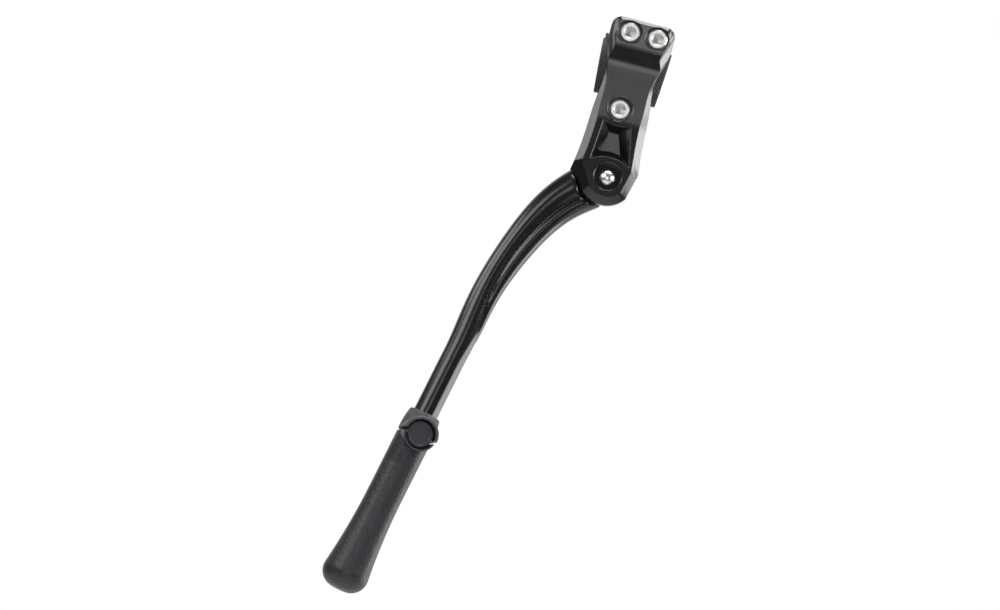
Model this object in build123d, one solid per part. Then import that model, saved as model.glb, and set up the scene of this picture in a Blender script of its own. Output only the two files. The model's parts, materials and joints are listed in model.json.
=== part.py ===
from build123d import *
from math import cos, radians, sin, tan
import os

os.makedirs("parts", exist_ok=True)

# Bicycle kickstand in millimetres: +Z up along the head, X along the frame stay, -Y outboard.
# The origin is the centre of the stay in the clamp. Depths are counted outboard, along -Y.

# Stay clamp
STAY_RADIUS = 11.0
CLAMP_GAP = 2.0
PAD_WALL = 3.5
PAD_TOP_LENGTH = 37.0
PAD_FOOT_LENGTH = 33.0
PAD_SETBACK = 0.3
PAD_FIT = 0.1
JAW_WEB = 4.0
SADDLE_TOP_LENGTH = 35.6
SADDLE_FOOT_LENGTH = 31.0
SADDLE_RISE = 17.4
SADDLE_DROP = 13.0
LUG_END = 6.5
LUG_CORNER = 6.0
UPPER_LUG_WIDTH = 28.0
LOWER_LUG_WIDTH = 22.0
UPPER_LUG_DEPTH = 10.0
LOWER_LUG_DEPTH = 7.5

# Clamp bolts, M6 socket heads
BOLT_RADIUS = 3.0
BOLT_HEAD_RADIUS = 5.0
BOLT_HEAD_HEIGHT = 6.0
BOLT_EDGE = 0.5
HEX_KEY = 5.0
HEX_DEPTH = 3.0
HEX_POINT = 0.6
HEX_EDGE = 0.4
UPPER_BOLT_LENGTH = 25.0
LOWER_BOLT_LENGTH = 20.0
UPPER_BOLT_RISE = 19.5
UPPER_BOLT_SPACING = 14.8
LOWER_BOLT_DROP = 20.9
LOWER_BOLT_SIDE = -1.0
COUNTERBORE_RADIUS = 6.0
COUNTERBORE_EDGE = 0.5
LOWER_BOSS_RADIUS = 7.0
LOWER_BOSS_RISE = 0.5
HEAD_SUNK = 0.4
BOLT_CLEARANCE = 0.3
THREAD_CLEARANCE = 0.02

# Head outline, seen from outboard
HEAD_TOP = 26.6
HEAD_CORNER = 5.0
SHOULDER_RISE = 17.0
SHOULDER_LEFT = -16.2
SHOULDER_RIGHT = 17.6
WAIST_DROP = 2.5
WAIST_LEFT = -13.4
WAIST_RIGHT = 13.5
THIGH_DROP = 18.0
THIGH_LEFT = -14.5
THIGH_RIGHT = 14.4
HEEL_LEFT = -18.6
CALF_DROP = 51.9
CALF_RIGHT = 16.8
CALF_FLARE = 8.0
CALF_LEAN = 14.0
CHEEK_MARGIN = 0.1

# Head profile, seen from the side
BOLT_PAD_DEPTH = 19.3
RAMP_TOP = 12.0
RAMP_FOOT = 3.0
RAMP_ROUND = 14.0
MID_DEPTH = 17.0
MID_LEAN = 5.0
BEND_DROP = 27.0
BEND_RADIUS = 30.0
RIM_DEPTH = 16.0
BEVEL_ANGLE = 45.0
BEVEL_REACH = 4.2
BEVEL_SPARE = 0.5
TOP_BEVEL_LIFT = 1.7

# Pivot: its axis leans up by the splay, so that the foot stands outboard when the leg is down
SPLAY = 10.0
PIVOT_DROP = 58.6
PIVOT_SIDE = 1.5
FORK_HALF = 12.5
FORK_RADIUS = 14.6
FORK_BEVEL = 3.7
FORK_TOP = 24.0
REAR_RADIUS = 10.6
REAR_TOP = 16.0
HEEL_RISE = 1.0
HEEL_EDGE_SIDE = -10.7
HEEL_EDGE_DROP = 2.6
HEEL_EDGE_LEAN = 28.7
SLOT_HALF = 6.0
SLOT_RADIUS = 10.5
SLOT_OPEN = 20.0
PIN_RADIUS = 4.2
PIN_DOME = 2.0
PIN_TAIL = 1.2
PIN_FIT = 0.02
PIN_RECESS_RADIUS = 7.0
PIN_RECESS_DEPTH = 3.4
SPOT_FACE_DEPTH = 8.8
RING_RADIUS = 6.3
RING_WALL = 1.0
CIRCLIP_RADIUS = 5.6
CIRCLIP_WALL = 0.9
CIRCLIP_SEAT = 3.5
CIRCLIP_MOUTH = 5.0
THRUST_WASHER_RADIUS = 9.0
THRUST_WASHER_WALL = 0.5
THRUST_CLEARANCE = 0.1
BUSH_WALL = 1.4
BUSH_RUNNING = 0.05

# Sunken panel between the lower bolt and the pivot
PANEL_DEPTH = 5.8
PANEL_TILT = 5.0
PANEL_EDGE = 0.35
PANEL_TOP = 28.4
PANEL_FOOT = 7.2
PANEL_TOP_LEFT = -9.2
PANEL_TOP_RIGHT = 5.2
PANEL_FOOT_LEFT = -11.0
PANEL_FOOT_RIGHT = 9.4
PANEL_TOP_SAG = 1.3
PANEL_FOOT_CROWN = 3.2
FLOOR_TOP = 24.3
FLOOR_FOOT = 13.2
FLOOR_TOP_LEFT = -4.6
FLOOR_TOP_RIGHT = 0.2
FLOOR_FOOT_LEFT = -7.1
FLOOR_FOOT_RIGHT = 3.8
FLOOR_TOP_SAG = 0.2
FLOOR_FOOT_CROWN = 0.9

# Detent that holds the leg up or down
PLUNGER_RADIUS = 3.0
PLUNGER_LENGTH = 8.0
PLUNGER_TRAVEL = 1.2
PLUNGER_CLEARANCE = 0.1
DETENT_BORE_END = 28.0
DETENT_WIRE = 0.7
DETENT_TURNS = 5.0
NOTCH_CLEARANCE = 0.3
LEG_SWING = 105.0

# Leg, drawn in its own plane with the pivot at zero
TONGUE_RADIUS = 10.0
SHOULDER_RADIUS = 16.4
STOP_GAP = 0.3
HIP_LEAN = 48.3
ROD_LEAN = 11.9
ROD_WIDTH = 13.0
ROD_DEPTH = 13.4
ROD_INSERT = 55.0
COLLAR_SIDE = -60.9
COLLAR_DROP = 143.6
LEG_BEND = (
    # side, drop and lean of a section, then its whole, main and rib widths, depth and rib depth
    (1.2, -3.4, HIP_LEAN, (25.5, 18.8, 10.8, 20.0, 17.6)),
    (-10.9, 7.5, HIP_LEAN, (24.0, 18.0, 9.9, 19.0, 16.6)),
    (-25.0, 23.1, 36.0, (21.0, 15.4, 9.2, 17.0, 15.2)),
    (-37.7, 48.3, 20.5, (17.5, 12.2, 9.0, 15.4, 14.0)),
)
LEG_STRAIGHT = (
    # height above the collar, then the same widths and depths
    (73.4, (15.5, 12.6, 7.0, 14.4, 12.4)),
    (52.7, (14.4, 13.7, 4.0, 14.0, 8.0)),
    (44.4, (13.4, 13.4, 4.0, 13.8, 5.0)),
)
FLAT_ANGLE = 29.0
FLAT_DISTANCE = 5.8
FLAT_FADE_START = 32.0
FLAT_FADE_END = 54.0

# Adjustable foot
FOOT_LENGTH = 100.6
FOOT_TRAVEL_UP = 30.0
FOOT_TRAVEL_DOWN = 20.0
ROD_CLEARANCE = 0.3
BORE_SPARE = 4.0
COLLAR_LENGTH = 12.8
COLLAR_TOP_WIDTH = 16.8
COLLAR_TOP_DEPTH = 20.0
COLLAR_WIDTH = 18.8
COLLAR_DEPTH = 24.0
PARTING_GAP = 1.8
PARTING_DEPTH = 0.9
HIP_END = 30.0
GRIP_END = 46.0
GRIP_WIDTH = 18.6
SOLE_WIDTH = 24.4
SOLE_ROUND = 10.0

# Push button and latch
BUTTON_TURN = 12.0
BUTTON_DROP = 12.0
BUTTON_RADIUS = 7.0
BUTTON_HEIGHT = 3.4
BUTTON_REACH = 14.2
BUTTON_DISH = 0.5
BUTTON_EDGE = 0.6
BUTTON_TRAVEL = 1.6
BUTTON_CLEARANCE = 0.9
CUP_RADIUS = 9.5
CUP_LOWER_RADIUS = 8.9
CUP_REACH = 16.0
CUP_EDGE = 0.6
CUP_FLOOR = 8.6
LATCH_WALL = 2.3
LATCH_BRIDGE = 1.0
LATCH_ENGAGE = 0.7
LATCH_SEAT = 0.1
LATCH_CLEARANCE = 0.2
LATCH_CREST_GAP = 0.15
LATCH_TOOTH = 0.9
TOOTH_WIDTH = 4.8
STEM_WIDTH = 4.0
STEM_SEAT = 1.5
RACK_PITCH = 5.0
BUTTON_SPRING_RADIUS = 1.3
BUTTON_SPRING_WIRE = 0.4
BUTTON_SPRING_TURNS = 2.5
BUTTON_SPRING_OFFSET = 3.2
BUTTON_SPRING_SEAT = 0.6

# Beyond the whole part, for cuts that run right through
FAR = 120.0

# Sizes that follow from the ones above
clamp_face = CLAMP_GAP / 2
pad_radius = STAY_RADIUS + PAD_WALL
cavity_radius = pad_radius + PAD_FIT
counterbore_depth = BOLT_HEAD_HEIGHT + HEAD_SUNK
upper_lug_end = UPPER_BOLT_RISE + LUG_END
lower_lug_end = LOWER_BOLT_DROP + LUG_END
pivot_rise = (PIVOT_DROP - BEND_DROP) * sin(radians(SPLAY))
bend_depth = MID_DEPTH + (RAMP_FOOT + BEND_DROP) * tan(radians(MID_LEAN))
pivot_depth = bend_depth - (FORK_HALF - pivot_rise) / cos(radians(SPLAY))
lower_boss_face = MID_DEPTH + (RAMP_FOOT + LOWER_BOLT_DROP) * tan(radians(MID_LEAN)) + LOWER_BOSS_RISE
fork_rim = FORK_HALF - FORK_BEVEL
tongue_half = SLOT_HALF - THRUST_WASHER_WALL - THRUST_CLEARANCE
bush_radius = PIN_RADIUS + BUSH_RUNNING + BUSH_WALL
recess_floor = FORK_HALF - PIN_RECESS_DEPTH
nose_rest = TONGUE_RADIUS + NOTCH_CLEARANCE
rack_face = ROD_DEPTH / 2 + LATCH_CREST_GAP
latch_base = BUTTON_DROP - COLLAR_LENGTH + PARTING_GAP / 2 + LATCH_SEAT
latch_middle = latch_base + LATCH_WALL / 2

pivot_frame = Pos(PIVOT_SIDE, -pivot_depth, -PIVOT_DROP) * Rot(-SPLAY, 0, 0)
rod_in_leg = Pos(COLLAR_SIDE, 0, -COLLAR_DROP) * Rot(0, ROD_LEAN, 0)
rod_frame = pivot_frame * rod_in_leg
button_in_rod = Pos(0, 0, -BUTTON_DROP) * Rot(0, 0, BUTTON_TURN)
button_frame = rod_frame * button_in_rod


def front_prism(profile, inner, outer):
    """An outline drawn in X and Z, carried outboard from one depth to another."""
    return Pos(0, -inner, 0) * extrude(Plane.XZ * profile, outer - inner)


def side_prism(profile, half_length):
    """An outline drawn in Y and Z, carried both ways along X."""
    return extrude(Plane.YZ * profile, half_length, both=True)


def turned(*points):
    """A turned piece about Y, from (radius, depth) corners."""
    corners = [(radius, -depth) for radius, depth in points]
    return revolve(make_face(Polyline(*corners, close=True)), Axis.Y)


def bar(side, level, radius, inner, outer):
    """A round bar along Y between two depths."""
    return front_prism(Pos(side, level) * Circle(radius), inner, outer)


def block(low, high):
    """A box between two corners."""
    sizes = [b - a for a, b in zip(low, high)]
    return Pos(*low) * Box(*sizes, align=(Align.MIN, Align.MIN, Align.MIN))


def upper_bolt_places():
    """Side and level of the two bolts above the stay."""
    half = UPPER_BOLT_SPACING / 2
    return [(PIVOT_SIDE - half, UPPER_BOLT_RISE), (PIVOT_SIDE + half, UPPER_BOLT_RISE)]


def bolt_bore(side, level, face):
    """A counterbore with a broken edge, and its clearance hole, sunk from a face."""
    edge = COUNTERBORE_RADIUS + COUNTERBORE_EDGE
    shank = BOLT_RADIUS + BOLT_CLEARANCE
    floor = face - counterbore_depth
    bore = turned(
        (0, -FAR),
        (shank, -FAR),
        (shank, floor),
        (COUNTERBORE_RADIUS, floor),
        (COUNTERBORE_RADIUS, face - COUNTERBORE_EDGE),
        (edge, face),
        (edge, FAR),
        (0, FAR),
    )
    return Pos(side, 0, level) * bore


def head_outline(grow, crest, side, rise, stretch):
    """Waisted outline of the head up to its crest: grown, and seen from another origin."""
    foot = -PIVOT_DROP - 2 * FORK_RADIUS
    flare = radians(CALF_FLARE)
    foot_right = CALF_RIGHT + (foot + CALF_DROP) * tan(radians(CALF_LEAN))

    def at(across, level):
        wider = across + grow if across > 0 else across - grow
        return (wider - side, (level + rise) * stretch)

    left = Spline(
        at(SHOULDER_LEFT, SHOULDER_RISE),
        at(WAIST_LEFT, -WAIST_DROP),
        at(THIGH_LEFT, -THIGH_DROP),
        at(HEEL_LEFT, -PIVOT_DROP),
        tangents=((0, -1), (HEEL_LEFT - THIGH_LEFT, (THIGH_DROP - PIVOT_DROP) / 2)),
    )
    right = Spline(
        at(SHOULDER_RIGHT, SHOULDER_RISE),
        at(WAIST_RIGHT, -WAIST_DROP),
        at(THIGH_RIGHT, -THIGH_DROP),
        at(CALF_RIGHT, -CALF_DROP),
        tangents=((0, -1), (sin(flare), -cos(flare))),
    )
    top = Polyline(
        at(SHOULDER_LEFT, SHOULDER_RISE),
        at(SHOULDER_LEFT, crest),
        at(SHOULDER_RIGHT, crest),
        at(SHOULDER_RIGHT, SHOULDER_RISE),
    )
    skirt = Polyline(
        at(HEEL_LEFT, -PIVOT_DROP),
        at(HEEL_LEFT, foot),
        at(foot_right, foot),
        at(CALF_RIGHT, -CALF_DROP),
    )
    outline = make_face([*left.edges(), *skirt.edges(), *right.edges(), *top.edges()])
    return fillet(outline.vertices().group_by(Axis.Y)[-1], HEAD_CORNER + grow)


def head_profile():
    """Side profile: bolt pad, ramp, face over the stay, and the fork leaning out by the splay."""
    lean = radians(MID_LEAN)
    splay = radians(SPLAY)
    tangent = BEND_RADIUS * tan((splay - lean) / 2)
    bend_start = (-bend_depth + tangent * sin(lean), -BEND_DROP + tangent * cos(lean))
    bend_end = (-bend_depth - tangent * sin(splay), -BEND_DROP - tangent * cos(splay))
    foot = -PIVOT_DROP - 2 * FORK_RADIUS
    top = HEAD_TOP + HEAD_CORNER
    face = FilletPolyline(
        (-BOLT_PAD_DEPTH, top),
        (-BOLT_PAD_DEPTH, RAMP_TOP),
        (-MID_DEPTH, RAMP_FOOT),
        bend_start,
        radius=RAMP_ROUND,
    )
    bend = TangentArc(bend_start, bend_end, tangent=(-sin(lean), -cos(lean)))
    back = Polyline(
        bend_end,
        (-bend_depth + (foot + BEND_DROP) * tan(splay), foot),
        (-clamp_face, foot),
        (-clamp_face, top),
        (-BOLT_PAD_DEPTH, top),
    )
    return make_face([*face.edges(), *bend.edges(), *back.edges()])


def bevelled(outline, rim):
    """Room within a bevel that starts on a grown outline behind a rim, and all that lies inboard."""
    start = rim - BEVEL_SPARE
    reach = BEVEL_REACH + BEVEL_SPARE
    hat = Pos(0, -start, 0) * extrude(Plane.XZ * outline, reach, taper=BEVEL_ANGLE)
    return hat + block((-FAR, -start, -FAR), (FAR, FAR, FAR))


def rim_room():
    """Room within the head's bevels: upright over the stay, and leaning with the fork below."""
    rise = PIVOT_DROP - fork_rim * sin(radians(SPLAY))
    crest = HEAD_TOP + BEVEL_SPARE + TOP_BEVEL_LIFT
    upright = head_outline(BEVEL_SPARE, crest, 0, 0, 1)
    leaning = head_outline(BEVEL_SPARE, crest, PIVOT_SIDE, rise, 1 / cos(radians(SPLAY)))
    return bevelled(upright, RIM_DEPTH) + pivot_frame * bevelled(leaning, fork_rim)


def fork_end():
    """Bevelled end of the fork: the boss round the pivot, and the heel above it with its broad facet."""
    face_radius = FORK_RADIUS - FORK_BEVEL
    boss = turned(
        (0, -FAR),
        (FORK_RADIUS, -FAR),
        (FORK_RADIUS, fork_rim),
        (face_radius, FORK_HALF),
        (0, FORK_HALF),
    )
    heel = Rot(0, HIP_LEAN, 0) * block((-FAR, -FAR, -FORK_RADIUS), (0, FAR, FAR))
    edge = radians(HEEL_EDGE_LEAN)
    facet = Plane(
        (HEEL_EDGE_SIDE, -FORK_HALF, -HEEL_EDGE_DROP),
        x_dir=(sin(edge), 0, -cos(edge)),
        z_dir=(-cos(edge), -1, -sin(edge)),
    )
    lower = (boss + heel) & (facet * block((-FAR, -FAR, -FAR), (FAR, FAR, 0)))
    right = block((0, -FAR, 0), (FAR, FAR, FAR))
    above = block((-FAR, -FAR, FORK_TOP), (FAR, FAR, FAR))
    return lower + right + above


def rear_trim():
    """Room round the rear cheek, which is smaller than the front one so that it stays hidden."""
    hip = radians(HIP_LEAN)
    down = Vector(-sin(hip), -cos(hip))
    back = Vector(-cos(hip), sin(hip))
    outside = Polyline(
        (0, 0),
        down * REAR_RADIUS,
        down * REAR_RADIUS + back * FAR,
        (-2 * FAR, -FAR),
        (FAR, -FAR),
        (FAR, REAR_TOP),
        (FORK_RADIUS + CHEEK_MARGIN, REAR_TOP),
        (REAR_RADIUS, 0),
        close=True,
    )
    return front_prism(make_face(outside) - Circle(REAR_RADIUS), -FAR, 0)


def panel_outline(top, foot, top_left, top_right, foot_left, foot_right, sag, crown):
    """Four-sided panel with a sagging top edge and a crowned foot."""
    middle = (top_left + top_right) / 2
    foot_middle = (foot_left + foot_right) / 2
    edges = [
        ThreePointArc((top_left, top), (middle, top - sag), (top_right, top)),
        Line((top_right, top), (foot_right, foot)),
        ThreePointArc((foot_right, foot), (foot_middle, foot + crown), (foot_left, foot)),
        Line((foot_left, foot), (top_left, top)),
    ]
    return make_face(edges)


def panel_mouth(grow):
    """Outline of the panel's mouth, grown on all sides."""
    return panel_outline(
        PANEL_TOP + grow,
        PANEL_FOOT - grow,
        PANEL_TOP_LEFT - grow,
        PANEL_TOP_RIGHT + grow,
        PANEL_FOOT_LEFT - grow,
        PANEL_FOOT_RIGHT + grow,
        PANEL_TOP_SAG,
        PANEL_FOOT_CROWN,
    )


def panel_cut():
    """Sunken panel with sloping walls and a broken edge, in the pivot's frame."""
    floor = panel_outline(
        FLOOR_TOP,
        FLOOR_FOOT,
        FLOOR_TOP_LEFT,
        FLOOR_TOP_RIGHT,
        FLOOR_FOOT_LEFT,
        FLOOR_FOOT_RIGHT,
        FLOOR_TOP_SAG,
        FLOOR_FOOT_CROWN,
    )
    middle = (FLOOR_TOP + FLOOR_FOOT) / 2
    tilt = Pos(0, PANEL_DEPTH - FORK_HALF, middle) * Rot(PANEL_TILT, 0, 0) * Pos(0, 0, -middle)
    lip_start = FORK_HALF - PANEL_EDGE
    start = Plane.XZ.offset(lip_start) * panel_mouth(0)
    walls = loft([tilt * (Plane.XZ * floor), start])
    lip = loft([start, Plane.XZ.offset(FORK_HALF + PANEL_EDGE) * panel_mouth(2 * PANEL_EDGE)])
    return walls + lip


def slot_cut():
    """Slot for the leg's tongue: round about the pivot and open below for the whole swing."""
    rise = FAR * tan(radians(SLOT_OPEN))
    opening = Polyline(
        (0, 0),
        (0, HEEL_RISE),
        (-FAR, HEEL_RISE),
        (-FAR, -FAR),
        (FAR, -FAR),
        (FAR, rise),
        close=True,
    )
    return front_prism(make_face(opening) + Circle(SLOT_RADIUS), -SLOT_HALF, SLOT_HALF)


def pivot_bores():
    """Pin hole, its ringed recess outboard and the spot face inboard."""
    hole = PIN_RADIUS + PIN_FIT
    edge = PIN_RECESS_RADIUS + COUNTERBORE_EDGE
    return turned(
        (0, -FAR),
        (PIN_RECESS_RADIUS, -FAR),
        (PIN_RECESS_RADIUS, -SPOT_FACE_DEPTH),
        (hole, -SPOT_FACE_DEPTH),
        (hole, recess_floor),
        (PIN_RECESS_RADIUS, recess_floor),
        (PIN_RECESS_RADIUS, FORK_HALF - COUNTERBORE_EDGE),
        (edge, FORK_HALF),
        (edge, FAR),
        (0, FAR),
    )


def detent_bore():
    """Blind bore above the slot for the plunger and its spring."""
    return extrude(Circle(PLUNGER_RADIUS + PLUNGER_CLEARANCE), DETENT_BORE_END)


def lower_boss():
    """Low round boss that the lower bolt is sunk in."""
    side, level = LOWER_BOLT_SIDE, -LOWER_BOLT_DROP
    return bar(side, level, LOWER_BOSS_RADIUS, RIM_DEPTH, lower_boss_face)


def head_body():
    """Forged head: outline and profile crossed, bevelled, then bored and slotted."""
    head = front_prism(head_outline(0, HEAD_TOP, 0, 0, 1), -FAR, FAR) & side_prism(head_profile(), FAR)
    head = head & rim_room() & (pivot_frame * fork_end())
    head += lower_boss()
    head -= Rot(0, 90, 0) * Cylinder(cavity_radius, 2 * FAR)
    for side, level in upper_bolt_places():
        head -= bolt_bore(side, level, BOLT_PAD_DEPTH)
    head -= bolt_bore(LOWER_BOLT_SIDE, -LOWER_BOLT_DROP, lower_boss_face)
    for cut in (rear_trim(), panel_cut(), slot_cut(), pivot_bores(), detent_bore()):
        head -= pivot_frame * cut
    return head


def trapezium(top_length, foot_length, top, foot):
    """Four-sided outline about the head's middle, of one length at its top and another at its foot."""
    corners = (
        (-foot_length / 2, foot),
        (foot_length / 2, foot),
        (top_length / 2, top),
        (-top_length / 2, top),
    )
    return make_face(Polyline(*corners, close=True))


def pad(side):
    """Rubber half liner between the stay and the clamp; side is -1 outboard and 1 inboard."""
    ring = Circle(pad_radius) - Circle(STAY_RADIUS)
    half = Pos(side * (clamp_face + PAD_SETBACK + FAR / 2), 0) * Rectangle(FAR, FAR)
    ends = trapezium(PAD_TOP_LENGTH, PAD_FOOT_LENGTH, pad_radius, -pad_radius)
    return side_prism(ring & half, FAR) & front_prism(ends, -FAR, FAR)


def jaw_outline():
    """Outline of the jaw from outboard: a wide saddle between two narrower lugs round the bolts."""
    above = Pos(0, FAR / 2) * Rectangle(2 * FAR, FAR)
    upper = Pos(PIVOT_SIDE, 0) * RectangleRounded(UPPER_LUG_WIDTH, 2 * upper_lug_end, LUG_CORNER)
    lower = Pos(LOWER_BOLT_SIDE, 0) * RectangleRounded(LOWER_LUG_WIDTH, 2 * lower_lug_end, LUG_CORNER)
    saddle = trapezium(SADDLE_TOP_LENGTH, SADDLE_FOOT_LENGTH, SADDLE_RISE, -SADDLE_DROP)
    return (upper & above) + (lower - above) + saddle


def rear_jaw():
    """Saddle behind the stay, with threaded lugs above and below it."""
    upper = Pos(clamp_face, 0) * Rectangle(UPPER_LUG_DEPTH, FAR, align=Align.MIN)
    lower = Pos(clamp_face, -FAR) * Rectangle(LOWER_LUG_DEPTH, FAR, align=Align.MIN)
    saddle = Circle(cavity_radius + JAW_WEB) & (Pos(clamp_face + FAR / 2, 0) * Rectangle(FAR, FAR))
    jaw = side_prism(upper + lower + saddle - Circle(cavity_radius), FAR)
    jaw &= front_prism(jaw_outline(), -FAR, FAR)
    for side, level in (*upper_bolt_places(), (LOWER_BOLT_SIDE, -LOWER_BOLT_DROP)):
        jaw -= bar(side, level, BOLT_RADIUS + THREAD_CLEARANCE, -FAR, FAR)
    return jaw


def bolt(length):
    """Socket head bolt along Y, its seat at zero depth."""
    shank_edge = BOLT_RADIUS - BOLT_EDGE
    head_edge = BOLT_HEAD_RADIUS - BOLT_EDGE
    blank = turned(
        (0, -length),
        (shank_edge, -length),
        (BOLT_RADIUS, BOLT_EDGE - length),
        (BOLT_RADIUS, 0),
        (BOLT_HEAD_RADIUS, 0),
        (BOLT_HEAD_RADIUS, BOLT_HEAD_HEIGHT - BOLT_EDGE),
        (head_edge, BOLT_HEAD_HEIGHT),
        (0, BOLT_HEAD_HEIGHT),
    )
    flat = HEX_KEY / 2
    floor = BOLT_HEAD_HEIGHT - HEX_DEPTH
    socket = front_prism(RegularPolygon(flat, 6, major_radius=False), floor, FAR)
    point = turned((0, floor - HEX_POINT), (flat, floor), (0, floor))
    mouth = flat / cos(radians(30)) + HEX_EDGE
    edge = turned((0, BOLT_HEAD_HEIGHT - mouth), (mouth, BOLT_HEAD_HEIGHT), (0, BOLT_HEAD_HEIGHT))
    return blank - socket - point - (edge & bar(0, 0, FAR, BOLT_HEAD_HEIGHT - mouth + flat, FAR))


def upper_clamp_bolts():
    """The pair of bolts above the stay."""
    seat = BOLT_PAD_DEPTH - counterbore_depth
    blank = bolt(UPPER_BOLT_LENGTH)
    return Compound([Pos(side, -seat, level) * blank for side, level in upper_bolt_places()])


def lower_clamp_bolt():
    """The single bolt below the stay."""
    seat = lower_boss_face - counterbore_depth
    return Pos(LOWER_BOLT_SIDE, -seat, -LOWER_BOLT_DROP) * bolt(LOWER_BOLT_LENGTH)


def washer(inner, outer, low, high):
    """A flat ring about Y between two depths."""
    return turned((inner, low), (outer, low), (outer, high), (inner, high))


def pivot_pin():
    """Pivot pin with a polished dome outboard and a circlip groove inboard."""
    crown = recess_floor + RING_WALL + PIN_DOME
    dome_edge = crown - PIN_DOME
    groove = -SPOT_FACE_DEPTH - CIRCLIP_WALL
    tail = groove - PIN_TAIL
    shaft = turned(
        (0, tail),
        (PIN_RADIUS, tail),
        (PIN_RADIUS, groove),
        (CIRCLIP_SEAT, groove),
        (CIRCLIP_SEAT, -SPOT_FACE_DEPTH),
        (PIN_RADIUS, -SPOT_FACE_DEPTH),
        (PIN_RADIUS, dome_edge),
        (0, dome_edge),
    )
    ball = (PIN_RADIUS**2 + PIN_DOME**2) / (2 * PIN_DOME)
    dome = Pos(0, ball - crown, 0) * Sphere(ball) & bar(0, 0, PIN_RADIUS, dome_edge, crown)
    return shaft + dome


def pin_circlip():
    """Open circlip in the pin's groove."""
    ring = washer(CIRCLIP_SEAT, CIRCLIP_RADIUS, -SPOT_FACE_DEPTH - CIRCLIP_WALL, -SPOT_FACE_DEPTH)
    half = CIRCLIP_MOUTH / 2
    return ring - block((-half, -FAR, -FAR), (half, FAR, 0))


def pin_ring():
    """Dark ring round the pin's dome, in the recess."""
    return washer(PIN_RADIUS + PIN_FIT, RING_RADIUS, recess_floor, recess_floor + RING_WALL)


def pivot_bush():
    """Plain bearing in the tongue, running on the pin."""
    return washer(PIN_RADIUS + BUSH_RUNNING, bush_radius, -tongue_half, tongue_half)


def thrust_washer(face):
    """Thin washer between the tongue and one cheek; face is 1 outboard and -1 inboard."""
    inner = SLOT_HALF - THRUST_WASHER_WALL
    low, high = sorted((face * inner, face * SLOT_HALF))
    return washer(PIN_RADIUS + PIN_FIT, THRUST_WASHER_RADIUS, low, high)


def plunger_notch(turn):
    """Rounded notch across the tongue's rim for the plunger's nose, at a turn of the leg."""
    level = nose_rest - PLUNGER_TRAVEL + PLUNGER_RADIUS
    return Rot(0, turn, 0) * bar(0, level, PLUNGER_RADIUS + NOTCH_CLEARANCE, -FAR, FAR)


def detent_plunger():
    """Round-nosed plunger above the tongue, held at the height of the rim."""
    shank = nose_rest + PLUNGER_RADIUS
    body = extrude(Circle(PLUNGER_RADIUS), PLUNGER_LENGTH - PLUNGER_RADIUS)
    return Pos(0, 0, shank) * (body + Sphere(PLUNGER_RADIUS))


def coil(radius, wire, turns, length):
    """Square-wire compression spring standing on zero, along Z."""
    rise = length - wire
    path = Pos(0, 0, wire / 2) * Helix(rise / turns, rise, radius)
    section = Plane(path @ 0, z_dir=path % 0) * Rectangle(wire, wire)
    return sweep(section, path, is_frenet=True)


def detent_spring():
    """Spring between the plunger and the end of its bore."""
    foot = nose_rest + PLUNGER_LENGTH
    radius = PLUNGER_RADIUS - DETENT_WIRE - PLUNGER_CLEARANCE
    return Pos(0, 0, foot) * coil(radius, DETENT_WIRE, DETENT_TURNS, DETENT_BORE_END - foot)


def leg_plane(side, drop, lean):
    """Cross-section plane of the leg: its Z runs down the leg and its X to the right."""
    across = (cos(radians(lean)), 0, -sin(radians(lean)))
    along = (-sin(radians(lean)), 0, -cos(radians(lean)))
    return Plane((side, 0, -drop), x_dir=across, z_dir=along)


def rod_plane(up):
    """Cross-section plane of the straight rod, a distance up from the collar."""
    lean = radians(ROD_LEAN)
    return leg_plane(COLLAR_SIDE + up * sin(lean), COLLAR_DROP - up * cos(lean), ROD_LEAN)


def leg_sections():
    """Planes and sizes of the forged sections, from inside the fork to the rod."""
    bend = [(leg_plane(side, drop, lean), sizes) for side, drop, lean, sizes in LEG_BEND]
    return bend + [(rod_plane(up), sizes) for up, sizes in LEG_STRAIGHT]


def main_lobe():
    """Left and larger lobe of the leg, which runs on into the rod."""
    sections = []
    for plane, (whole, main, rib, depth, rib_depth) in leg_sections():
        sections.append(plane * Pos((main - whole) / 2, 0) * Ellipse(main / 2, depth / 2))
    sections.append(rod_plane(FLAT_FADE_START) * Ellipse(ROD_WIDTH / 2, ROD_DEPTH / 2))
    return loft(sections)


def rib_lobe():
    """Right and smaller lobe, which tapers away into the rod below a long crease."""
    sections = []
    for plane, (whole, main, rib, depth, rib_depth) in leg_sections():
        sections.append(plane * Pos((whole - rib) / 2, 0) * Ellipse(rib / 2, rib_depth / 2))
    return loft(sections)


def flat_cut(clearance, fade):
    """Keyed side of the rod: two flats that meet at its right, in the rod's frame."""
    near = FLAT_DISTANCE + clearance
    tip = ROD_DEPTH / 2 + ROD_CLEARANCE if fade else near
    top = FLAT_FADE_END if fade else FAR
    profile = Polyline(
        (near, -FAR),
        (near, FLAT_FADE_START),
        (tip, top),
        (FAR, top),
        (FAR, -FAR),
        close=True,
    )
    flat = front_prism(make_face(profile), -FAR, FAR)
    return Rot(0, 0, FLAT_ANGLE) * flat + Rot(0, 0, -FLAT_ANGLE) * flat


def rod_core(clearance, top, end):
    """Oval rod, or its bore, between two heights in the rod's frame."""
    oval = Ellipse(ROD_WIDTH / 2 + clearance, ROD_DEPTH / 2 + clearance)
    return Pos(0, 0, end) * extrude(oval, top - end)


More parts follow.
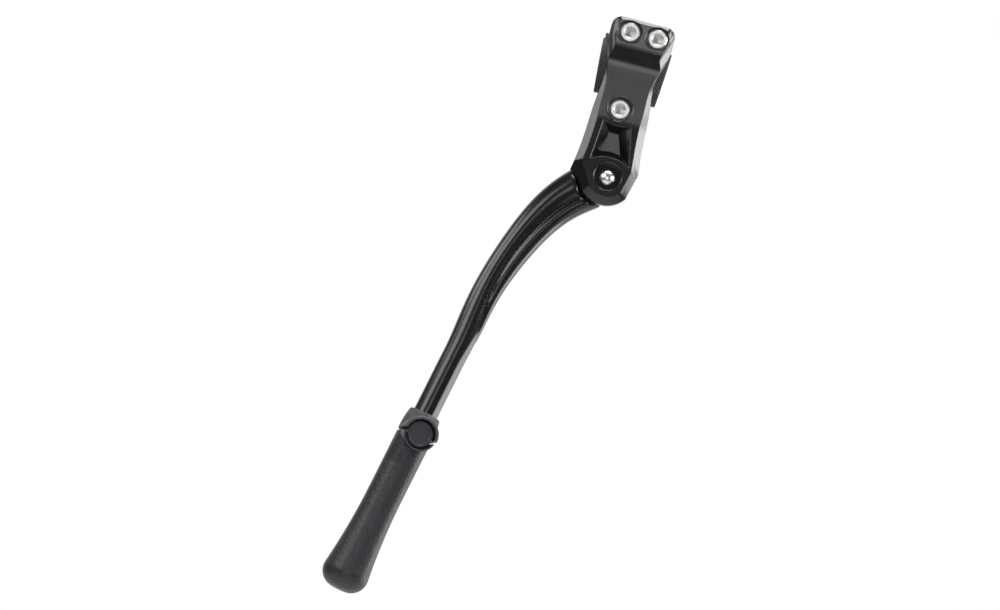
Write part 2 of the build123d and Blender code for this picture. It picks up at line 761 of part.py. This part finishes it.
def rack_cut():
    """Row of latch notches across the back of the rod, in the rod's frame."""
    half = LATCH_WALL / 2 + LATCH_CLEARANCE
    floor = rack_face - LATCH_ENGAGE - LATCH_CLEARANCE
    steps = range(-round(FOOT_TRAVEL_DOWN / RACK_PITCH), round(FOOT_TRAVEL_UP / RACK_PITCH) + 1)
    notches = []
    for step in steps:
        level = latch_middle + step * RACK_PITCH
        notches.append(block((-FAR, floor, level - half), (FAR, FAR, level + half)))
    return button_in_rod * Compound(notches)


def leg():
    """Forged leg: tongue, two-lobed bend and keyed rod."""
    forging = main_lobe() - rod_in_leg * flat_cut(0, True)
    forging += rod_in_leg * (rod_core(0, FLAT_FADE_START, -ROD_INSERT) - flat_cut(0, False))
    forging += rib_lobe()
    for notch in rack_cut().solids():
        forging -= rod_in_leg * notch
    stop = block((-FAR, -FAR, -FORK_RADIUS - STOP_GAP), (0, FAR, FAR))
    shoulder = bar(0, 0, SHOULDER_RADIUS, -FAR, FAR) + Rot(0, HIP_LEAN, 0) * stop
    forging -= shoulder - block((-FAR, -tongue_half, -FAR), (FAR, tongue_half, FAR))
    forging -= block((-FAR, -FAR, HEEL_RISE - STOP_GAP), (FAR, FAR, FAR))
    forging -= block((0, -FAR, -FAR), (FAR, FAR, FAR))
    forging += bar(0, 0, TONGUE_RADIUS, -tongue_half, tongue_half)
    forging -= bar(0, 0, bush_radius + PIN_FIT, -FAR, FAR)
    return forging - plunger_notch(0) - plunger_notch(LEG_SWING)


def collar_blank():
    """Outside of the collar: ovals lofted down the rod, deep enough at the back for the latch."""
    rows = (
        (0, COLLAR_TOP_WIDTH, COLLAR_TOP_DEPTH),
        (COLLAR_LENGTH / 2, COLLAR_WIDTH, COLLAR_DEPTH),
        (COLLAR_LENGTH, COLLAR_WIDTH, COLLAR_DEPTH),
    )
    return loft([Pos(0, 0, -drop) * Ellipse(width / 2, depth / 2) for drop, width, depth in rows])


def sleeve_blank():
    """Outside of the sleeve, turned about the rod: a straight grip, a flare and a rounded sole."""
    grip = GRIP_WIDTH / 2
    sole = SOLE_WIDTH / 2
    sole_start = (sole, SOLE_ROUND - FOOT_LENGTH)
    sole_end = (sole - SOLE_ROUND, -FOOT_LENGTH)
    flare = TangentArc((grip, -GRIP_END), sole_start, tangent=(0, -1))
    corner = TangentArc(sole_start, sole_end, tangent=flare % 1)
    inside = Polyline(sole_end, (0, -FOOT_LENGTH), (0, 0), (grip, 0), (grip, -GRIP_END))
    edges = [edge for line in (flare, corner, inside) for edge in line.edges()]
    return revolve(Plane.XZ * make_face(edges), Axis.Z)


def foot_bore():
    """Keyed bore that slides on the rod, in the rod's frame."""
    end = -ROD_INSERT - FOOT_TRAVEL_UP - BORE_SPARE
    return rod_core(ROD_CLEARANCE, FAR, end) - flat_cut(ROD_CLEARANCE, False)


def cup(radius):
    """Round cup for the button with a broken edge, in the rod's frame."""
    edge = radius - CUP_EDGE
    rim = CUP_REACH - CUP_EDGE
    return button_in_rod * turned((0, 0), (radius, 0), (radius, rim), (edge, CUP_REACH), (0, CUP_REACH))


def button_well():
    """Round well for the button, in the rod's frame."""
    return button_in_rod * bar(0, 0, BUTTON_RADIUS + BUTTON_CLEARANCE, CUP_FLOOR, FAR)


def stadium(half_width, half_depth, front, back):
    """Two ovals and what lies between them, reaching a distance to the front and to the back."""
    near = half_depth - front
    far = back - half_depth
    middle = Pos(0, (near + far) / 2) * Rectangle(2 * half_width, far - near)
    ends = [Pos(0, place) * Ellipse(half_width, half_depth) for place in (near, far)]
    return middle + ends[0] + ends[1]


def latch_reach():
    """Half width, half depth, front and back reach of the hole in the latch plate."""
    half_width = ROD_WIDTH / 2 + ROD_CLEARANCE
    half_depth = ROD_DEPTH / 2 + ROD_CLEARANCE
    return half_width, half_depth, half_depth + BUTTON_TRAVEL, rack_face + LATCH_TOOTH


def latch_pocket():
    """Room for the latch plate over its whole travel, in the button's frame."""
    half_width, half_depth, front, back = latch_reach()
    grow = LATCH_BRIDGE + LATCH_CLEARANCE
    near = front + grow + LATCH_ENGAGE
    far = back + grow + BUTTON_TRAVEL
    room = stadium(half_width + grow, half_depth + grow, near, far)
    return Pos(0, 0, latch_base - FAR) * extrude(room, FAR + LATCH_WALL + LATCH_CLEARANCE)


def foot_collar():
    """Upper half of the foot: the collar on the rod, arched over the button."""
    split = PARTING_GAP / 2 - COLLAR_LENGTH
    collar = collar_blank() + cup(CUP_RADIUS)
    collar &= block((-FAR, -FAR, split), (FAR, FAR, FAR))
    return collar - foot_bore() - button_well() - button_in_rod * latch_pocket()


def foot_sleeve():
    """Lower half of the foot: the flared sleeve, with a thin rim under the button."""
    split = -COLLAR_LENGTH - PARTING_GAP / 2
    oval = Ellipse(COLLAR_WIDTH / 2, COLLAR_DEPTH / 2)
    seat = Ellipse(COLLAR_WIDTH / 2 - PARTING_DEPTH, COLLAR_DEPTH / 2 - PARTING_DEPTH)
    hip = loft([Pos(0, 0, split) * oval, Pos(0, 0, -HIP_END) * Circle(GRIP_WIDTH / 2)])
    sleeve = sleeve_blank() + cup(CUP_LOWER_RADIUS)
    sleeve &= block((-FAR, -FAR, -FAR), (FAR, FAR, split))
    sleeve += hip
    sleeve += Pos(0, 0, split) * extrude(seat, PARTING_GAP)
    return sleeve - foot_bore() - button_well()


def spring_places():
    """Heights of the two button springs, either side of the latch plate."""
    return [latch_middle + BUTTON_SPRING_OFFSET, latch_middle - BUTTON_SPRING_OFFSET]


def foot_button():
    """Dished push button with a slot for the latch stem and seats for its springs."""
    back = BUTTON_REACH - BUTTON_HEIGHT
    edge = BUTTON_RADIUS - BUTTON_EDGE
    blank = turned(
        (0, back),
        (BUTTON_RADIUS, back),
        (BUTTON_RADIUS, BUTTON_REACH - BUTTON_EDGE),
        (edge, BUTTON_REACH),
        (edge - BUTTON_EDGE, BUTTON_REACH),
        (edge - 2 * BUTTON_EDGE, BUTTON_REACH - BUTTON_DISH),
        (0, BUTTON_REACH - BUTTON_DISH),
    )
    half = STEM_WIDTH / 2 + THREAD_CLEARANCE
    slot = block((-half, -back - STEM_SEAT, latch_base), (half, -back, latch_base + LATCH_WALL))
    button = blank - slot
    for level in spring_places():
        seat_radius = BUTTON_SPRING_RADIUS + BUTTON_SPRING_WIRE
        button -= bar(0, level, seat_radius, back, back + BUTTON_SPRING_SEAT)
    return button


def latch_plate():
    """Steel plate round the rod: a tooth behind it, and a stem in front that carries the button."""
    half_width, half_depth, front, back = latch_reach()
    grow = LATCH_BRIDGE
    outline = stadium(half_width + grow, half_depth + grow, front + grow, back + grow)
    ring = outline - stadium(half_width, half_depth, front, back)
    edge = (Align.CENTER, Align.MIN)
    tooth = Pos(0, rack_face) * Rectangle(TOOTH_WIDTH, LATCH_TOOTH + grow / 2, align=edge)
    tip = BUTTON_REACH - BUTTON_HEIGHT + STEM_SEAT
    stem = Pos(0, -tip) * Rectangle(STEM_WIDTH, tip - front - grow / 2, align=edge)
    return Pos(0, 0, latch_base) * extrude(ring + tooth + stem, LATCH_WALL)


def button_springs():
    """Pair of small springs between the cup's floor and the button."""
    length = BUTTON_REACH - BUTTON_HEIGHT + BUTTON_SPRING_SEAT - CUP_FLOOR
    spring = coil(BUTTON_SPRING_RADIUS, BUTTON_SPRING_WIRE, BUTTON_SPRING_TURNS, length)
    places = [Pos(0, -CUP_FLOOR, level) * Rot(90, 0, 0) for level in spring_places()]
    return Compound([place * spring for place in places])


parts = {
    "head_body": head_body(),
    "front_pad": pad(-1),
    "rear_pad": pad(1),
    "rear_jaw": rear_jaw(),
    "upper_clamp_bolts": upper_clamp_bolts(),
    "lower_clamp_bolt": lower_clamp_bolt(),
    "pivot_pin": pivot_frame * pivot_pin(),
    "pin_circlip": pivot_frame * pin_circlip(),
    "pin_ring": pivot_frame * pin_ring(),
    "thrust_washer_front": pivot_frame * thrust_washer(1),
    "thrust_washer_back": pivot_frame * thrust_washer(-1),
    "pivot_bush": pivot_frame * pivot_bush(),
    "detent_plunger": pivot_frame * detent_plunger(),
    "detent_spring": pivot_frame * detent_spring(),
    "leg": pivot_frame * leg(),
    "foot_collar": rod_frame * foot_collar(),
    "foot_sleeve": rod_frame * foot_sleeve(),
    "foot_button": button_frame * foot_button(),
    "latch_plate": button_frame * latch_plate(),
    "button_springs": button_frame * button_springs(),
}

for name, shape in parts.items():
    export_step(shape, f"parts/{name}.step")
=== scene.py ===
import json
import math

import bpy
import numpy as np
from mathutils import Matrix, Vector


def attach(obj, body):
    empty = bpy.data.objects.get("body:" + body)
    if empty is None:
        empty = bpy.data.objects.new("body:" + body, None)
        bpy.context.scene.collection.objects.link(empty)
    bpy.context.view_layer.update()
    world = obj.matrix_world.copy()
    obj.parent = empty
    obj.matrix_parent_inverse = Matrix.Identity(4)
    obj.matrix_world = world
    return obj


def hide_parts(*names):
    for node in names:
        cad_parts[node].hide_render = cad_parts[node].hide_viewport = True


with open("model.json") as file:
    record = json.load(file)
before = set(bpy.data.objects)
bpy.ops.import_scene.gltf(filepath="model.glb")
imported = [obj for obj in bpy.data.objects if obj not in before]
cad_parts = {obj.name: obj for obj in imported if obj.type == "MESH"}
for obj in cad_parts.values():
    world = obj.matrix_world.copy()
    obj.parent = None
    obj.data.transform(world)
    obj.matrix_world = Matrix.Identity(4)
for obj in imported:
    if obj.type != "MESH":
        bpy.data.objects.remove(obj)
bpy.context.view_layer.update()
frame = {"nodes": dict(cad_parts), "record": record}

MM = 0.001

# The photograph: 520 mm across its width, the head leaning 14.5 degrees to the right
HEAD_LEAN = math.radians(14.5)
RIGHT = Vector((math.cos(HEAD_LEAN), 0, math.sin(HEAD_LEAN)))
UP = Vector((-math.sin(HEAD_LEAN), 0, math.cos(HEAD_LEAN)))
OUT = Vector((0, -1, 0))
VIEW_CENTRE = Vector((-36.0, -25.0, -135.2)) * MM
VIEW_WIDTH = 520 * MM
VIEW_DISTANCE = 2.4
FAR_CLIP = 20.0
SENSOR = 36.0

# Finishes
ENAMEL_CLOUD_MM = 9
BEVEL_SAMPLES = 6
RIB_PITCH_MM = 1.2
RIB_DEPTH_MM = 0.3
# The wave texture repeats every 2 pi / 10 of its place
WAVE_FACTOR = 10
GRAIN_DEPTH_MM = 0.3

# Skins: the leg's grid keeps it under 200,000 triangles, and more passes would draw dark lines in its groove
WELD_MM = 0.001
LEG_GRID_MM = 0.42
LEG_PASSES = 10
SMOOTH_FACTOR = 0.5
LEG_NORMAL_PASSES = 12
LEG_CREASE_DEG = 30.0
HEAD_NORMAL_PASSES = 4
HEAD_CREASE_DEG = 25.0
# Keeps a length that something is divided by from being nothing
TINY = 1e-16

# Room: white begins behind the object at this Y of a ray's direction, and the rest has a dim level
BEHIND_FROM = 0.3
DIM_LEVEL = 0.1
# A larger floor would enter the photograph's view
FLOOR_DROP = -0.6
FLOOR_HALF = 1.0


def linear(hex_colour):
    """sRGB hex to linear RGBA: the curve below 0.04045 is a straight line, above it a power of 2.4."""
    values = [int(hex_colour[i : i + 2], 16) / 255 for i in (1, 3, 5)]
    return [v / 12.92 if v <= 0.04045 else ((v + 0.055) / 1.055) ** 2.4 for v in values] + [1.0]


def add(tree, kind, settings=None, **inputs):
    """Adds one node: settings are its own fields, inputs are values or (node, output) links.

    An input such as _0 or _1 is a socket by its number.
    """
    node = tree.nodes.new(kind)
    for field, value in (settings or {}).items():
        setattr(node, field, value)
    for name, value in inputs.items():
        socket = node.inputs[int(name[1:])] if name[0] == "_" else node.inputs[name.replace("_", " ")]
        if isinstance(value, tuple) and isinstance(value[0], bpy.types.Node):
            tree.links.new(value[0].outputs[value[1]], socket)
        else:
            socket.default_value = value
    return node


def finish_of(name, base, **sockets):
    """A new material with one Principled shader, its base colour and its constant sockets."""
    material = bpy.data.materials.new(name)
    material.use_nodes = True
    tree = material.node_tree
    tree.nodes.clear()
    shader = add(tree, "ShaderNodeBsdfPrincipled", Base_Color=linear(base), **sockets)
    add(tree, "ShaderNodeOutputMaterial", Surface=(shader, "BSDF"))
    place = add(tree, "ShaderNodeTexCoord")
    return material, tree, shader, place


def link(tree, node, output, shader, socket):
    """Links a node's output to a socket of the shader."""
    tree.links.new(node.outputs[output], shader.inputs[socket])


def noise(tree, place, size_mm, detail):
    """Noise on the object's own coordinates, its patches a size in mm."""
    return add(tree, "ShaderNodeTexNoise", Vector=(place, "Object"), Scale=1 / (size_mm * MM), Detail=detail)


def uneven_sheen(tree, shader, pattern, low, high):
    """Lets a pattern move the roughness between two values."""
    sheen = add(tree, "ShaderNodeMapRange", Value=(pattern, "Fac"), To_Min=low, To_Max=high)
    link(tree, sheen, "Result", shader, "Roughness")


def black_enamel(name, low, high, edge_mm):
    """Stoved black enamel on forged aluminium: deep black, its sheen uneven by 9 mm clouds.

    Edges are broken by a radius in mm, as the enamel flows over them; none is needed on a rounded forging.
    """
    material, tree, shader, place = finish_of(name, "#0b0b0c")
    uneven_sheen(tree, shader, noise(tree, place, ENAMEL_CLOUD_MM, 1.0), low, high)
    if edge_mm:
        broken = add(tree, "ShaderNodeBevel", {"samples": BEVEL_SAMPLES}, Radius=edge_mm * MM)
        link(tree, broken, "Normal", shader, "Normal")
    return material


def metal(name, base, grain_mm, detail, low, high):
    """A bare, plated or blackened metal whose sheen runs between two roughnesses over a grain in mm."""
    material, tree, shader, place = finish_of(name, base, Metallic=1.0)
    uneven_sheen(tree, shader, noise(tree, place, grain_mm, detail), low, high)
    return material


def ribbed_rubber():
    """Moulded rubber with fine ribs that run at 45 degrees across the stay, 1.2 mm apart."""
    material, tree, shader, place = finish_of("ribbed moulded rubber", "#232325", Roughness=0.6)
    across = add(
        tree, "ShaderNodeVectorMath", {"operation": "MULTIPLY"}, _0=(place, "Object"), _1=(1.0, 0.0, 1.0)
    )
    ribs = add(
        tree,
        "ShaderNodeTexWave",
        {"wave_type": "BANDS", "bands_direction": "DIAGONAL"},
        Vector=(across, "Vector"),
        Scale=2 * math.pi / (WAVE_FACTOR * RIB_PITCH_MM * math.sqrt(2) * MM),
        Distortion=0.0,
    )
    bump = add(tree, "ShaderNodeBump", Height=(ribs, "Fac"), Strength=0.9, Distance=RIB_DEPTH_MM * MM)
    link(tree, bump, "Normal", shader, "Normal")
    return material


def moulded_nylon(name, base, grain_mm, strength, roughness, gloss):
    """Glass-filled nylon from a spark-eroded mould: matt, with a fine grain."""
    material, tree, shader, place = finish_of(name, base, Roughness=roughness, Specular_IOR_Level=gloss)
    grain = noise(tree, place, grain_mm, 4.0)
    bump = add(tree, "ShaderNodeBump", Height=(grain, "Fac"), Strength=strength, Distance=GRAIN_DEPTH_MM * MM)
    link(tree, bump, "Normal", shader, "Normal")
    return material


finishes = {
    "black_alloy": black_enamel("gloss black enamel on forged aluminium", low=0.2, high=0.27, edge_mm=0.6),
    "rubber": ribbed_rubber(),
    # Pale metal with half-millimetre crystals
    "bright_steel": metal("bright zinc on steel", "#cfcecb", grain_mm=0.5, detail=3.0, low=0.36, high=0.48),
    # A mirror with faint buffing haze
    "polished_steel": metal("polished steel", "#e4e4e6", grain_mm=0.8, detail=2.0, low=0.24, high=0.34),
    "dark_steel": metal("blackened steel", "#26262a", grain_mm=0.6, detail=3.0, low=0.3, high=0.42),
    "bronze": metal("bearing bronze", "#b08a4e", grain_mm=0.7, detail=3.0, low=0.28, high=0.4),
    "spring_steel": metal("drawn spring wire", "#8d8e92", grain_mm=0.3, detail=3.0, low=0.24, high=0.36),
    "collar_nylon": moulded_nylon(
        "satin moulded nylon", "#37383a", grain_mm=0.8, strength=0.3, roughness=0.45, gloss=0.25
    ),
    # The foot's grain is drawn coarser than the real one, to show in the photograph's frame
    "foot_nylon": moulded_nylon(
        "grained moulded nylon", "#232426", grain_mm=1.4, strength=1.0, roughness=0.38, gloss=0.35
    ),
    "button_nylon": moulded_nylon(
        "plain moulded nylon", "#2b2c2f", grain_mm=0.5, strength=0.15, roughness=0.42, gloss=0.25
    ),
}
for entry in frame["record"]["subparts"]:
    node = frame["nodes"][entry["node"]]
    node.data.materials.clear()
    node.data.materials.append(finishes[entry["material_slot"]])


def welded(node):
    """A node's places and triangles, with corners at one place, to a micrometre, made one."""
    mesh = node.data
    places = np.empty(3 * len(mesh.vertices))
    mesh.vertices.foreach_get("co", places)
    places = places.reshape(-1, 3)
    corners = np.empty(len(mesh.loops), dtype=np.int64)
    mesh.loops.foreach_get("vertex_index", corners)
    grid = np.round(places / (WELD_MM * MM)).astype(np.int64)
    _, first, weld = np.unique(grid, axis=0, return_index=True, return_inverse=True)
    triangles = weld.ravel()[corners].reshape(-1, 3)
    triangles = triangles[(triangles != np.roll(triangles, -1, axis=1)).all(axis=1)]
    return places[first], triangles


def new_piece(name, places, triangles):
    """A smooth-shaded piece from whole arrays of places and triangles."""
    skin = bpy.data.meshes.new(name)
    skin.from_pydata(places, [], triangles)
    skin.polygons.foreach_set("use_smooth", np.ones(len(triangles), dtype=bool))
    piece = bpy.data.objects.new(name, skin)
    bpy.context.scene.collection.objects.link(piece)
    return piece


def likeness(first, second, crease_deg):
    """How nearly rows of directions face the same way: 1 at no angle, 0 from the crease angle on."""
    limit = math.cos(math.radians(crease_deg))
    return np.clip(((first * second).sum(axis=1) - limit) / (1 - limit), 0, 1)


def resampled_skin(name, node, step_mm, passes):
    """A node's own closed surface on an even grid of small squares, its grid noise smoothed in a few passes."""
    piece = new_piece(name, *welded(node))
    grid = piece.modifiers.new("even grid", "REMESH")
    grid.mode = "VOXEL"
    grid.voxel_size = step_mm * MM
    grid.use_smooth_shade = True
    smooth = piece.modifiers.new("even surface", "SMOOTH")
    smooth.factor = SMOOTH_FACTOR
    smooth.iterations = passes
    shaped = piece.evaluated_get(bpy.context.evaluated_depsgraph_get())
    surface = bpy.data.meshes.new_from_object(shaped)
    piece.modifiers.clear()
    piece.data = surface
    return piece


def evened_normals(piece, passes, crease_deg):
    """Evens a fine piece's normals, and moves no vertex.

    In each pass a vertex takes the mean with its neighbours, each by how nearly it faces the same way.
    """
    mesh = piece.data
    normals = np.empty(3 * len(mesh.vertices))
    mesh.vertex_normals.foreach_get("vector", normals)
    normals = normals.reshape(-1, 3)
    ends = np.empty(2 * len(mesh.edges), dtype=np.int64)
    mesh.edges.foreach_get("vertices", ends)
    first, second = ends.reshape(-1, 2).T
    for _ in range(passes):
        weight = likeness(normals[first], normals[second], crease_deg)[:, None]
        total = normals.copy()
        np.add.at(total, first, weight * normals[second])
        np.add.at(total, second, weight * normals[first])
        normals = total / np.linalg.norm(total, axis=1, keepdims=True)
    mesh.normals_split_custom_set_from_vertices(normals)


def evened_skin(name, node, passes, crease_deg):
    """A node's own surface, welded, with its normals evened.

    In each pass a corner takes the mean of the faces round its vertex, each by its area and by how nearly it
    faces the same way as the corner's own face, so that edges stay. A face then takes the mean of its corners.
    """
    places, triangles = welded(node)
    spans = places[triangles]
    crosses = np.cross(spans[:, 1] - spans[:, 0], spans[:, 2] - spans[:, 0])
    areas = np.linalg.norm(crosses, axis=1)
    facing = crosses / np.maximum(areas, TINY)[:, None]
    # Every pair of corners that share a vertex: own is the first corner's place, other the second's
    order = np.argsort(triangles.ravel(), kind="stable")
    shared = np.bincount(triangles.ravel(), minlength=len(places))
    block_start = np.repeat(np.cumsum(shared) - shared, shared)
    block_size = np.repeat(shared, shared)
    own = np.repeat(np.arange(len(order)), block_size)
    step = np.arange(len(own)) - np.repeat(np.cumsum(block_size) - block_size, block_size)
    other = order[block_start[own] + step]
    own = order[own]
    weight = areas[other // 3] * likeness(facing[own // 3], facing[other // 3], crease_deg)
    for _ in range(passes):
        normals = np.zeros((len(order), 3))
        np.add.at(normals, own, weight[:, None] * facing[other // 3])
        normals /= np.maximum(np.linalg.norm(normals, axis=1, keepdims=True), TINY)
        facing = normals.reshape(-1, 3, 3).sum(axis=1)
        facing /= np.maximum(np.linalg.norm(facing, axis=1, keepdims=True), TINY)
    piece = new_piece(name, places, triangles)
    piece.data.normals_split_custom_set(normals)
    return piece


leg_skin = resampled_skin("leg_skin", frame["nodes"]["leg"], LEG_GRID_MM, LEG_PASSES)
evened_normals(leg_skin, LEG_NORMAL_PASSES, LEG_CREASE_DEG)
leg_skin.data.materials.clear()
leg_enamel = black_enamel("satin black enamel on forged aluminium", low=0.21, high=0.25, edge_mm=0.0)
leg_skin.data.materials.append(leg_enamel)
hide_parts("leg")
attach(leg_skin, "swing_leg")
head_skin = evened_skin("head_skin", frame["nodes"]["head_body"], HEAD_NORMAL_PASSES, HEAD_CREASE_DEG)
head_skin.data.materials.append(finishes["black_alloy"])
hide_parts("head_body")
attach(head_skin, "head")


def view_place(right_mm, up_mm):
    """A place in the view's plane, in mm from its centre."""
    return VIEW_CENTRE + RIGHT * right_mm * MM + UP * up_mm * MM


def studio_axis(direction):
    """Row direction of a (right, up, out) direction of the view."""
    return (RIGHT * direction[0] + UP * direction[1] + OUT * direction[2]).normalized()


def softbox(name, aim, direction, along, distance, width, length, radiance):
    """A soft lamp facing a place, its length lying along a view direction; power is pi L A."""
    away = studio_axis(direction)
    top = studio_axis(along)
    top = (top - away * top.dot(away)).normalized()
    side = top.cross(away)
    lamp = bpy.data.lights.new(name, "AREA")
    lamp.shape = "RECTANGLE"
    lamp.size = width
    lamp.size_y = length
    lamp.energy = math.pi * radiance * width * length
    holder = bpy.data.objects.new(name, lamp)
    place = Matrix.Translation(aim + away * distance)
    holder.matrix_world = place @ Matrix((side, top, away)).transposed().to_4x4()
    holder.visible_camera = False
    bpy.context.scene.collection.objects.link(holder)
    return holder


UPRIGHT = (0.0, 1.0, 0.0)
LEVEL = (1.0, 0.0, 0.0)
LEFT_BEVEL = view_place(50, 99)
RIGHT_BEVEL = view_place(76, 94)
SHOULDER = view_place(86, 129)
CALF_BEVEL = view_place(69, 62)
# Name, aim, way to the lamp as (right, up, out), way of its length; distance, width and length in m; radiance
LAMPS = (
    # Small lamps near the head light its faces and bevels, and leave the leg below dark
    ("left box", LEFT_BEVEL, (-0.89, 0.454, -0.03), UPRIGHT, 0.4, 0.2, 0.17, 4.6),
    ("right box", RIGHT_BEVEL, (0.99, 0.05, -0.08), UPRIGHT, 0.4, 0.16, 0.16, 14.0),
    ("shoulder box", SHOULDER, (0.866, -0.2, 0.457), UPRIGHT, 0.3, 0.14, 0.12, 18.0),
    ("calf box", CALF_BEVEL, (0.977, -0.213, -0.01), UPRIGHT, 0.4, 0.12, 0.1, 7.0),
    # Large lamps light the face, and the leg and the foot along their length
    ("front box", VIEW_CENTRE, (0.04, 0.105, 1.0), UPRIGHT, 1.6, 0.44, 0.6, 3.8),
    ("leg box", VIEW_CENTRE, (-0.53, 0.6, 0.6), UPRIGHT, 1.1, 0.65, 0.5, 5.0),
    ("right rim box", VIEW_CENTRE, (0.8, -0.45, -0.4), UPRIGHT, 1.0, 0.6, 0.6, 4.0),
    ("top box", VIEW_CENTRE, (0.25, 0.968, 0.0), LEVEL, 1.0, 0.5, 0.8, 11.0),
    ("low box", VIEW_CENTRE, (0.25, -0.9, 0.34), LEVEL, 1.0, 0.3, 0.9, 3.2),
)
for row in LAMPS:
    softbox(*row)
# A broad fill brings plain colours to their written level, and is kept out of the gloss
fill = softbox("front fill", VIEW_CENTRE, (0.15, 0.25, 1.0), UPRIGHT, 2.2, 2.2, 2.2, 2.2)
fill.visible_glossy = False

# White to the camera, and white behind the object in its reflections; dim in front of it
world = bpy.data.worlds.new("studio")
bpy.context.scene.world = world
world.use_nodes = True
tree = world.node_tree
tree.nodes.clear()
path = add(tree, "ShaderNodeLightPath")
place = add(tree, "ShaderNodeTexCoord")
split = add(tree, "ShaderNodeSeparateXYZ", Vector=(place, "Generated"))
behind = add(
    tree,
    "ShaderNodeMapRange",
    {"interpolation_type": "SMOOTHSTEP"},
    Value=(split, "Y"),
    From_Min=BEHIND_FROM,
    From_Max=1.0,
)
mirrored = add(
    tree, "ShaderNodeMath", {"operation": "MULTIPLY"}, _0=(behind, "Result"), _1=(path, "Is Glossy Ray")
)
clear = add(
    tree,
    "ShaderNodeMath",
    {"operation": "MAXIMUM"},
    _0=(path, "Is Camera Ray"),
    _1=(path, "Is Transmission Ray"),
)
white = add(tree, "ShaderNodeMath", {"operation": "MAXIMUM"}, _0=(mirrored, "Value"), _1=(clear, "Value"))
level = add(tree, "ShaderNodeMath", {"operation": "MAXIMUM"}, _0=(white, "Value"), _1=DIM_LEVEL)
room = add(tree, "ShaderNodeBackground", Color=linear("#ffffff"), Strength=(level, "Value"))
add(tree, "ShaderNodeOutputWorld", Surface=(room, "Background"))

floor_mesh = bpy.data.meshes.new("floor")
corners = [(x * FLOOR_HALF, y * FLOOR_HALF, FLOOR_DROP) for x, y in ((-1, -1), (1, -1), (1, 1), (-1, 1))]
floor_mesh.from_pydata(corners, [], [(0, 1, 2, 3)])
floor = bpy.data.objects.new("floor", floor_mesh)
bpy.context.scene.collection.objects.link(floor)
pale_floor, *_ = finish_of("pale studio floor", "#eeeeee", Roughness=0.8)
floor_mesh.materials.append(pale_floor)

lens = bpy.data.cameras.new("camera")
lens.sensor_width = SENSOR
lens.lens = SENSOR * VIEW_DISTANCE / VIEW_WIDTH
lens.clip_end = FAR_CLIP
camera = bpy.data.objects.new("camera", lens)
facing_view = Matrix((RIGHT, UP, OUT)).transposed().to_4x4()
camera.matrix_world = Matrix.Translation(VIEW_CENTRE + OUT * VIEW_DISTANCE) @ facing_view
bpy.context.scene.collection.objects.link(camera)
bpy.context.scene.camera = camera
bpy.context.scene.view_settings.view_transform = "Standard"
